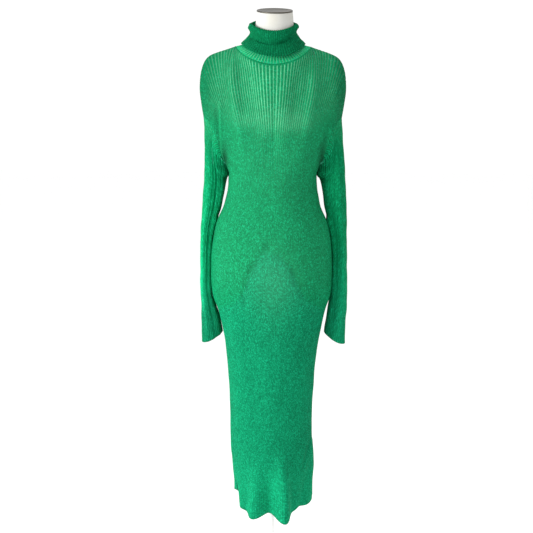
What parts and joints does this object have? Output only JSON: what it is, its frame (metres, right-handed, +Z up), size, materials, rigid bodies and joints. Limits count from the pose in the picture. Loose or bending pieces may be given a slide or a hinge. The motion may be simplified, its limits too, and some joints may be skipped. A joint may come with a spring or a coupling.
{
  "type": "turtleneck sweater dress on a dress form",
  "caption": "Long rib-knit sweater dress with long sleeves, fold-over turtleneck, fluted hem and side slit, worn by a limbless dress form on a pole stand.",
  "frame": {"origin": "centre of the stand's underside, on the floor", "axes": "+Z up along the pole, -Y the way the wearer faces, +X the wearer's left"},
  "size_m": [0.4535, 0.3, 1.7836],
  "materials": {
    "rib_knit": "lustrous fine rib knit with a metallic yarn",
    "form_cover": "smooth matte white jersey",
    "cap_metal": "dark brushed metal",
    "stand_enamel": "white stove enamel on steel"
  },
  "bodies": {
    "root": {"front_panel": "rib_knit", "back_panel": "rib_knit", "sleeve_right": "rib_knit", "sleeve_left": "rib_knit", "turtleneck": "rib_knit", "form_torso": "form_cover", "form_neck_cap": "cap_metal", "stand_pole": "stand_enamel", "stand_base": "stand_enamel"}
  },
  "joints": []
}
